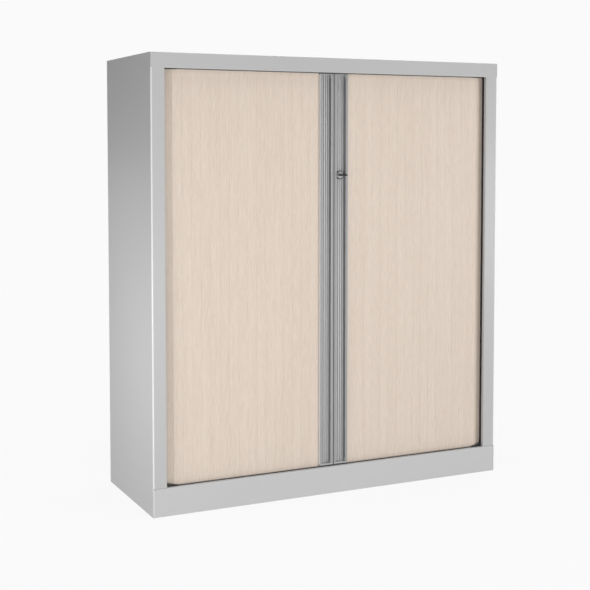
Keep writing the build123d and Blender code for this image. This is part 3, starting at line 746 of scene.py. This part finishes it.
def build_plinth():
    """The plinth's bent section carried between two rounded corners that fold back, deep up to
    the floor panel and short above it."""
    line = [(FRONT + 10.0, PLINTH_TOP), (FRONT, PLINTH_TOP), (FRONT, 0.0), (FRONT + 15.0, 0.0)]
    end = SIDE - SHEET - 0.1
    straight = end - WIDE_BEND
    face = FRONT + 0.02
    fold_top = 76.0
    skin = Skin().tube(lengthwise(bent_sheet(line, BEND, SHEET, 8), [-straight, straight]))
    corner = [(straight - 0.5, face), (end, face), (end, -195.2)]
    fold = Skin().tube(upright(bent_sheet(corner, WIDE_BEND, SHEET, 8), [0.0, fold_top]))
    rise = [(straight - 0.5, face), (end, face), (end, FRONT + WIDE_BEND + SEAM)]
    fold.tube(upright(bent_sheet(rise, WIDE_BEND, SHEET, 8), [fold_top + SHY, PLINTH_TOP - BEND]))
    for half in (fold, fold.mirrored()):
        skin.add(np.concatenate(half.points), half.faces)
    skin.made("plinth_sheet", "carcase_paint", "carcase", ("plinth_front",))


# ---------------------------------------------------------------- roll fronts
def slat_outline():
    """Plan of a slat from x = 0: decor face in front, tongue on the far edge, groove on the near
    one; and its two cells."""
    length = SLAT_PITCH - SLAT_GAP
    reach = TONGUE_REACH
    front, back = CURTAIN_FACE, CURTAIN_FACE + SLAT_THICK
    tongue = (CURTAIN_LINE - TONGUE_HALF, CURTAIN_LINE + TONGUE_HALF)
    groove = (CURTAIN_LINE - GROOVE_HALF, CURTAIN_LINE + GROOVE_HALF)
    corners = [
        ((0.0, front), 0.2),
        ((length, front), 0.2),
        ((length, tongue[0]), 0.2),
        ((length + reach, tongue[0]), 0.5),
        ((length + reach, tongue[1]), 0.5),
        ((length, tongue[1]), 0.2),
        ((length, back), 0.5),
        ((0.0, back), 0.5),
        ((0.0, groove[1]), 0.2),
        ((reach, groove[1]), 0.3),
        ((reach, groove[0]), 0.3),
        ((0.0, groove[0]), 0.2),
    ]
    outline = rounded([c for c, r in corners], [r for c, r in corners], 4)
    middle = (reach + length) / 2
    wall, low, high = SLAT_WALL, front + SLAT_WALL, back - SLAT_WALL
    cells = []
    for a, b in ((reach + wall, middle - wall / 2), (middle + wall / 2, length - wall)):
        cells.append(rounded([(a, low), (b, low), (b, high), (a, high)], 0.6, 4))
    return outline, cells


def slat_lids():
    """Index rows of the two flat end faces of a slat, round its cells: five points a corner,
    the outline's 60 first and then 20 for each cell."""
    front = np.concatenate([np.arange(50, 60), np.arange(0, 20)])
    back = np.arange(20, 51)
    near, far = np.arange(60, 80), np.arange(80, 100)
    lid_front = np.concatenate([front, far[9::-1], near[9::-1]])
    lid_back = np.concatenate([back, near[:1], near[:8:-1], far[:1], far[:8:-1], front[-1:]])
    return lid_front, lid_back


def build_front_slats():
    """The slat's plan carried up the height, sixteen times at the pitch."""
    outline, cells = slat_outline()
    loop = np.concatenate([outline] + cells)
    sections = upright(loop, [SLAT_LOW, SLAT_HIGH])
    around = len(outline)
    per_end = len(loop)
    walls = []
    start = 0
    for length, inward in ((around, False), (len(cells[0]), True), (len(cells[1]), True)):
        here = np.arange(length)
        after = (here + 1) % length
        rows = np.stack([here, after, after + per_end, here + per_end], axis=1) + start
        walls.append(rows[:, ::-1] if inward else rows)
        start += length
    lids = slat_lids()
    faces = walls + [lid[::-1] for lid in lids] + [lid + per_end for lid in lids]
    skin = Skin()
    for number in range(SLAT_COUNT):
        skin.add(sections + (CURTAIN_START + SLAT_PITCH * number, 0.0, 0.0), faces)
    names = ("front_slats", "curtain_front_slats")
    for piece, side in zip(both_hands(skin, names, "wood_decor", crease=40.0), (1, -1)):
        mark_curtain(piece, side)
        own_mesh(piece)


def round_corner(run, depth):
    """Plan points of a place run past the corner's start and depth behind the curtain's line: a
    quarter circle, then straight back."""
    angle = np.clip(run / TURN, 0.0, pi / 2)
    reach = TURN - depth
    x = CORNER_X + np.minimum(run, 0.0) + reach * np.sin(angle)
    y = CURTAIN_LINE + TURN - reach * np.cos(angle) + np.maximum(run - TURN * pi / 2, 0.0)
    return np.stack([x, y], axis=1)


def chord_rise(run):
    """For each place past the corner's start: how far the curve through its slat's front edges
    stands out from the flat between them, and that flat's way out."""
    lead = CORNER_X - TAIL_START
    start = SLAT_PITCH * np.floor((run + lead + 0.1) / SLAT_PITCH) - lead
    first = round_corner(start, -SLAT_HALF)
    way = round_corner(start + SLAT_PITCH - TAIL_GAP, -SLAT_HALF) - first
    way /= np.linalg.norm(way, axis=1, keepdims=True)
    out = np.stack([way[:, 1], -way[:, 0]], axis=1)
    return ((round_corner(run, -SLAT_HALF) - first) * out).sum(1), out


def dense(outline, step):
    """The same closed outline with extra points, none further than step from the next."""
    ring = np.concatenate([outline, outline[:1]])
    run = np.concatenate([[0.0], np.cumsum(np.linalg.norm(np.diff(ring, axis=0), axis=1))])
    at = np.unique(np.concatenate([run[:-1], np.arange(0.0, run[-1], step)]).round(4))
    return np.stack([np.interp(at, run, ring[:, 0]), np.interp(at, run, ring[:, 1])], axis=1)


def build_tail_slats():
    """Rounded slats that turn the corner: the back of each follows the curtain's line and its face
    is drawn onto the chord between its edges, by a share that grows from the back to the face."""
    skin = Skin()
    lead = CORNER_X - TAIL_START
    for number in range(TAIL_COUNT):
        a = SLAT_PITCH * number - lead
        b = a + SLAT_PITCH - TAIL_GAP
        half = SLAT_HALF
        corners = [((a, -half), 0.7), ((b, -half), 0.7), ((b, half), 0.5), ((a, half), 0.5)]
        if number == 0:
            end, gap = a + TONGUE_REACH + TAIL_GAP, GROOVE_HALF
            corners += [((a, gap), 0.2), ((end, gap), 0.3), ((end, -gap), 0.3), ((a, -gap), 0.2)]
        flat = dense(rounded([c for c, r in corners], [r for c, r in corners], 4), 2.0)
        rise, out = chord_rise(flat[:, 0])
        drawn = rise * (0.5 - flat[:, 1] / SLAT_THICK)
        plan = round_corner(flat[:, 0], flat[:, 1]) - drawn[:, None] * out
        skin.tube(upright(plan, [SLAT_LOW, SLAT_HIGH]))
    names = ("tail_slats", "curtain_tail_slats")
    for piece, side in zip(both_hands(skin, names, "wood_decor", crease=40.0), (1, -1)):
        mark_curtain(piece, side)


def mark_curtain(piece, side):
    """Stores on each point how far along the curtain, how deep behind its face and how high it
    is, in metres, so that the grain follows the curtain."""
    count = len(piece.data.vertices)
    place = np.zeros(count * 3)
    piece.data.vertices.foreach_get("co", place)
    x, y, z = (place.reshape(-1, 3) / MM).T
    x = x * side
    over = x - CORNER_X
    back = y - (CURTAIN_LINE + TURN)
    angle = np.arctan2(np.maximum(over, 0.0), np.maximum(-back, 1e-6))
    bend = (over > 0) & (back < 0)
    wall = (over > 0) & (back >= 0)
    run = np.where(bend, TURN * angle, np.where(wall, TURN * pi / 2 + back, over))
    out = np.where(bend, np.hypot(over, back), np.where(wall, over, -back)) - TURN
    rise = chord_rise(run)[0]
    depth = SLAT_HALF - (out + rise / 2) / (1.0 - rise / SLAT_THICK)
    along = CORNER_X + run + (LEFT_GRAIN if side < 0 else 0.0)
    marks = np.stack([along, depth, z], axis=1) * MM
    layer = piece.data.attributes.new("curtain", "FLOAT_VECTOR", "POINT")
    layer.data.foreach_set("vector", marks.ravel())


# ---------------------------------------------------------------- grips
def grip_outline():
    """Plan of the right grip: two hooked fins with a ribbed finger recess between them, and a
    tongue for the first slat."""
    lip = GRIP_FRONT + FIN_THICK
    crest = RECESS - RIB_HEIGHT
    tongue = (CURTAIN_LINE - TONGUE_HALF, CURTAIN_LINE + TONGUE_HALF)
    a, b, c, d = GRIP_NEAR, GRIP_NEAR + FIN, GRIP_FAR - FIN, GRIP_FAR
    middle = (a + d) / 2
    corners = [
        ((a, GRIP_FRONT), 1.4),
        ((b, GRIP_FRONT), 1.3),
        ((b, lip), 0.8),
        ((a + GRIP_WALL, lip), 0.8),
        ((a + GRIP_WALL, RECESS), 2.0),
    ]
    for number in range(RIB_COUNT):
        x = middle + RIB_PITCH * (number - (RIB_COUNT - 1) / 2)
        corners += [((x - RIB_ROOT, RECESS), 0.3), ((x - RIB_CREST, crest), 0.5)]
        corners += [((x + RIB_CREST, crest), 0.5), ((x + RIB_ROOT, RECESS), 0.3)]
    corners += [
        ((d - GRIP_WALL, RECESS), 2.0),
        ((d - GRIP_WALL, lip), 0.8),
        ((c, lip), 0.8),
        ((c, GRIP_FRONT), 1.3),
        ((d, GRIP_FRONT), 1.4),
        ((d, tongue[0]), 0.2),
        ((d + GRIP_TONGUE, tongue[0]), 0.5),
        ((d + GRIP_TONGUE, tongue[1]), 0.5),
        ((d, tongue[1]), 0.2),
        ((d, GRIP_BACK), 0.5),
        ((a, GRIP_BACK), 0.5),
    ]
    return rounded([place for place, r in corners], [r for place, r in corners], 5)


def build_grips():
    """The grip's plan carried up its height."""
    low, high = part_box("right_grip")
    skin = Skin().tube(upright(grip_outline(), [low.z / MM, high.z / MM]))
    skin.made("right_grip_profile", "grip_aluminium", "right_shutter", ("right_grip",))
    skin.mirrored().made("left_grip_profile", "grip_aluminium", "left_shutter", ("left_grip",))


def flat_block(x, y, z, edge, steps=3):
    """A block between two corners with rounded upright edges and softened rims: its rounded plan
    drawn in by a quarter circle at both ends."""
    turn = np.linspace(0.0, pi / 2, steps + 1)
    draw = np.concatenate([edge * (1 - np.sin(turn)), edge * (1 - np.sin(turn[::-1]))])
    rise = np.concatenate([z[0] + edge * (1 - np.cos(turn)), z[1] - edge * (1 - np.cos(turn[::-1]))])
    plan = rounded([(x[0], y[0]), (x[1], y[0]), (x[1], y[1]), (x[0], y[1])], 2 * edge, 4)
    middle = np.array([(x[0] + x[1]) / 2, (y[0] + y[1]) / 2])
    half = np.array([x[1] - x[0], y[1] - y[0]]) / 2
    scale = (half[None, :] - draw[:, None]) / half[None, :]
    loops = middle + (plan - middle)[None, :, :] * scale[:, None, :]
    heights = np.broadcast_to(rise[:, None, None], loops.shape[:2] + (1,))
    return np.concatenate([loops, heights], axis=2)


def build_grip_caps():
    """End plates of the grips, each with a runner blade in the track and two pegs: for each end
    the heights of plate, blade and pegs, and the plate's rim radius."""
    near, far = GRIP_NEAR, GRIP_FAR
    ends = {
        "lower": ((88.5, 93.0), (80.0, 88.6), (92.9, 103.0), 0.6),
        "upper": ((1309.5, 1311.0), (1310.9, 1331.0), (1299.5, 1309.6), 0.3),
    }
    for end, (plate, blade, peg, edge) in ends.items():
        skin = Skin()
        skin.tube(flat_block((near + 0.2, far - 0.2), (GRIP_FRONT + 0.2, GRIP_BACK), plate, edge))
        skin.tube(flat_block((near + 4.0, far - 4.0), (-197.4, -190.6), blade, 0.8))
        for places in ((near + 2.5, near + 8.2), (far - 8.2, far - 2.5)):
            skin.tube(flat_block(places, (-200.2, -191.3), peg, 0.8))
        for hand, piece in (("right", skin), ("left", skin.mirrored())):
            replaced = (f"{hand}_grip_{end}_cap",)
            piece.made(f"{hand}_{end}_end_cap", "grey_plastic", f"{hand}_shutter", replaced)


def build_seal():
    """Rubber strip with a rounded nose, carried up the left grip's inner wall."""
    low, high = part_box("closing_seal")
    base, shoulder, tip = -GRIP_NEAR, 0.4, 0.7
    front, middle, back = -201.0, -199.5, -198.0
    nose = [(base, front), (shoulder, front), (tip, middle), (shoulder, back), (base, back)]
    plan = rounded(nose, [0.1, 0.25, 0.5, 0.25, 0.1], 4)
    skin = Skin().tube(upright(plan, [low.z / MM, high.z / MM]))
    skin.made("seal_strip", "seal_rubber", "left_shutter", ("closing_seal",))


# ---------------------------------------------------------------- lock and key
def ring_profile(points, radii, steps=4):
    """A closed lathe profile of (radius, distance) with rounded corners, its last point the first."""
    line = rounded(points, radii, steps)
    return np.concatenate([line, line[:1]])


def build_lock_case():
    """A lathe shape about the lock's axis: the round collar with its ring groove, and the barrel
    with a thread of small ridges."""
    face = RECESS - 6.5
    tail = -175.0
    thread = [(THREAD - 0.45 * (number % 2), -187.5 + 0.6 * number) for number in range(20)]
    corners = [(BORE, face + 0.6), (7.3, face), (10.6, face), (11.0, face + 1.0)]
    corners += [(12.5, face + 1.0), (12.8, face + 0.3), (COLLAR, face + 1.4), (COLLAR, RECESS)]
    corners += [(THREAD, RECESS)] + thread + [(9.1, tail), (BORE, tail)]
    radii = [0.2, 0.2, 0.15, 0.2, 0.2, 0.2, 0.8, 0.3, 0.1] + [0.08] * len(thread) + [0.2, 0.2]
    skin = Skin().tube(turned(ring_profile(corners, radii, 2), LOCK_CENTRE, "y", 72), ends=False)
    skin.made("lock_case", "lock_chrome", "right_shutter", ("lock_body",), crease=50.0)


def build_lock_nut():
    """The nut's chamfered lathe shape, cut back to a hexagon: its radius is at most the half
    width over the cosine of the angle from the nearest flat."""
    half_width, turned_part = 12.0, 11.0
    front, back = -187.7, -184.0
    nut = [(9.65, front), (12.2, front), (14.5, -186.6), (14.5, -184.8), (12.2, back), (9.65, back)]
    nut.append(nut[0])

    def hexagon(angle, radius):
        flat = half_width / np.cos((angle + pi / 6) % (pi / 3) - pi / 6)
        return np.where(radius > turned_part, np.minimum(radius, flat), radius)

    skin = Skin().tube(turned(nut, LOCK_CENTRE, "y", 96, hexagon), ends=False)
    skin.made("lock_clamp_nut", "zinc_steel", "right_shutter", ("lock_nut",), crease=25.0)


def build_cam_screw():
    """The round-headed screw that holds the cam."""
    skin = add_screw_head(Skin(), LOCK_X, LOCK_Z, -172.5, 5.0, 3.5, 1.6, 3.0)
    skin.made("cam_screw_head", "zinc_steel", "key_barrel", ("cam_screw",), crease=50.0)


def add_screw_head(skin, x, z, seat, radius, height, slot, reach):
    """A domed head on polar rings, closed underneath: its height falls as the square of the
    radius, and a cross of that slot width and reach is sunk into it."""
    share = np.concatenate([np.linspace(0.0, 0.86, 22), [0.94, 1.0, 1.0, 0.0]])
    drop = np.concatenate([share[:22] ** 2 * 0.25, [0.32, 0.5, 1.0, 1.0]])
    turns = 72
    angle = np.linspace(0.0, 2 * pi, turns + 1)[:-1]
    r = share[:, None] * radius
    a = r * np.cos(angle)[None, :]
    b = r * np.sin(angle)[None, :]
    narrow = np.minimum(np.abs(a), np.abs(b))
    sunk = np.clip((slot / 2 + 0.12 - narrow) / 0.24, 0.0, 1.0) * np.clip((reach - r) / 0.4, 0.0, 1.0)
    sunk[-1] = 0.0
    top = height * (1.0 - drop)[:, None] - sunk * height * 0.45
    rings = np.stack([x + a, seat + top, z - b], axis=2)
    skin.tube(rings[::-1], ends=False)
    return skin


def build_key_head():
    """The key's head as a closed shell: rings run from the hanging hole outwards over one face,
    round the rim, and back over the other; its thickness swells towards the middle."""
    hole = np.array([LOCK_X, KEY_FRONT + 5.5])
    hole_radius = 2.5
    left, right = LOCK_X - KEY_HALF, LOCK_X + KEY_HALF
    corners = [(left, KEY_FRONT), (right, KEY_FRONT), (right, KEY_BACK), (left, KEY_BACK)]
    outline = rounded(corners, [8.5, 8.5, 3.0, 3.0], 15)
    away = outline - hole
    inner = hole + hole_radius * away / np.linalg.norm(away, axis=1, keepdims=True)
    over = np.array([0.0, 0.06, 0.2, 0.4, 0.6, 0.78, 0.9, 0.97, 1.0])
    swell = np.array([1.7, 2.2, 2.45, 2.55, 2.5, 2.4, 2.1, 1.6, 1.0])
    out = inner[None, :, :] + (outline - inner)[None, :, :] * over[:, None, None]
    level = np.broadcast_to(swell[:, None, None], out.shape[:2] + (1,))
    upper = np.concatenate([out, LOCK_Z + level], axis=2)
    lower = np.concatenate([out, LOCK_Z - level], axis=2)[::-1]
    loop = np.concatenate([lower, upper[::-1], lower[:1]])
    skin = Skin().tube(loop[::-1], ends=False)
    skin.made("key_head", "key_plastic", "key_barrel", ("key_cover",), crease=50.0)


# ---------------------------------------------------------------- small hardware
def build_feet():
    """Each foot: a pad whose rim radius follows a cosine of the angle, and a stem whose radius
    follows a helix of 1.5 mm pitch."""
    pad_line = [(0.0, 2.0), (20.0, 2.0), (22.0, 3.4), (22.0, 7.0)]
    pad_line += [(20.4, 10.0), (8.0, 10.0), (7.0, 14.0), (0.0, 14.0)]
    pad = rounded(pad_line, [0.01, 1.0, 0.8, 0.8, 0.8, 1.5, 0.8, 0.01], 4, closed=False)

    def waved(angle, radius):
        return radius - 0.25 * (radius > 19.0) * np.cos(16 * angle)

    pitch = 1.5
    heights = np.arange(14.0, 59.6, pitch / 4)
    turn = np.linspace(0.0, 2 * pi, 33)[:-1]
    lead = heights[:, None] / pitch * 2 * pi - turn[None, :]
    radius = 4.78 + 0.22 * np.cos(lead)
    grid = np.broadcast_to(heights[:, None], radius.shape)
    stem = np.stack([radius * np.cos(turn), radius * np.sin(turn), grid], axis=2)
    root = turned([(0.0, 13.5), (4.9, 13.5)], (0.0, 0.0, 0.0), "z", 32)
    tip = turned([(4.9, 59.6), (4.0, 60.0), (0.0, 60.0)], (0.0, 0.0, 0.0), "z", 32)
    for hand, x in (("left", -FOOT_X), ("right", FOOT_X)):
        for end, y in (("front", -FOOT_Y), ("rear", FOOT_Y)):
            foot = f"{hand}_{end}_foot"
            skin = Skin()
            skin.tube(turned(pad, (x, y, 0.0), "z", 64, waved), ends=False)
            skin.tube(np.concatenate([root, stem, tip]) + (x, y, 0.0), ends=False)
            skin.made(f"{hand}_{end}_levelling_foot", "black_plastic", foot, (foot,))


def build_rivets():
    """Blind rivets' domed heads with the sunk end of the mandrel, and their shanks."""
    mandrel = [(0.0, 0.45), (1.0, 0.45), (1.15, 0.0)]
    dome = [(1.4, 0.0), (2.6, 0.3), (3.6, 0.75), (4.0, 1.15), (4.0, 1.2)]
    shank = [(1.9, 1.2), (1.9, 4.0), (0.0, 4.0)]
    head_top = BACK + 1.2
    skin = Skin()
    low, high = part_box("back_rivets")
    heights = np.linspace(low.z / MM + 4.0, high.z / MM - 4.0, 6)
    line = [(radius, head_top - depth) for radius, depth in mandrel + dome + shank][::-1]
    for x in (-(SIDE - RIVET_INSET), SIDE - RIVET_INSET):
        for z in heights:
            skin.tube(turned(line, (x, 0.0, z), "y", 28), ends=False)
    skin.made("rivet_heads", "zinc_steel", "carcase", ("back_rivets",))


def build_keeper_screws():
    """The keeper's two screws: domed heads with a cross, and plain shanks."""
    x, seat, tip = -37.0, -186.0, -190.5
    shank = [(0.0, tip), (1.5, tip), (1.8, tip + 0.3), (1.8, seat + 0.2), (0.0, seat + 0.2)]
    skin = Skin()
    for z in (993.0, 1037.0):
        add_screw_head(skin, x, z, seat, 3.5, 1.5, 0.9, 2.0)
        skin.tube(turned(shank, (x, 0.0, z), "y", 28), ends=False)
    skin.made("keeper_screw_heads", "zinc_steel", "left_shutter", ("keeper_screws",), crease=50.0)


def build_base_fittings():
    """Lathe shapes over and round the feet: domed access plugs in the floor and flanged inserts
    with a knurled barrel."""
    plug_line = [(0.0, 71.0), (9.4, 71.0), (9.9, 73.0), (9.9, 77.0)]
    plug_line += [(12.5, 77.0), (12.5, 78.2), (10.5, 78.5), (0.0, 78.5)]
    plug = rounded(plug_line, [0.01, 0.4, 0.6, 0.05, 0.05, 0.3, 0.6, 0.01], 3, closed=False)
    barrel_line = [(5.1, 20.0), (8.0, 20.0), (8.0, 21.0), (12.0, 21.0)]
    barrel_line += [(12.0, 23.0), (8.0, 23.0), (8.0, 35.0), (5.1, 35.0)]
    barrel = ring_profile(barrel_line, [0.2, 0.2, 0.05, 0.05, 0.4, 0.2, 0.5, 0.3], 2)

    def knurl(angle, radius):
        return radius + 0.18 * np.cos(30 * angle) * ((radius > 7.0) & (radius < 8.3))

    plugs, inserts = Skin(), Skin()
    for x in (-FOOT_X, FOOT_X):
        for y in (-FOOT_Y, FOOT_Y):
            plugs.tube(turned(plug, (x, y, 0.0), "z", 48), ends=False)
            inserts.tube(turned(barrel, (x, y, 0.0), "z", 90, knurl), ends=False)
    plugs.made("floor_plugs", "black_plastic", "carcase", ("access_plugs",))
    inserts.made("threaded_inserts", "zinc_steel", "carcase", ("foot_inserts",))


finishes = build_finishes()
slots = {part["node"]: part["material_slot"] for part in frame["record"]["subparts"]}
for node_name, node in frame["nodes"].items():
    node.data.materials.clear()
    node.data.materials.append(finishes[slots[node_name]])

build_side_panels()
build_top_panel()
build_plinth()
build_front_slats()
build_tail_slats()
build_grips()
build_grip_caps()
build_seal()
build_lock_case()
build_lock_nut()
build_cam_screw()
build_key_head()
build_feet()
build_rivets()
build_keeper_screws()
build_base_fittings()
build_studio()
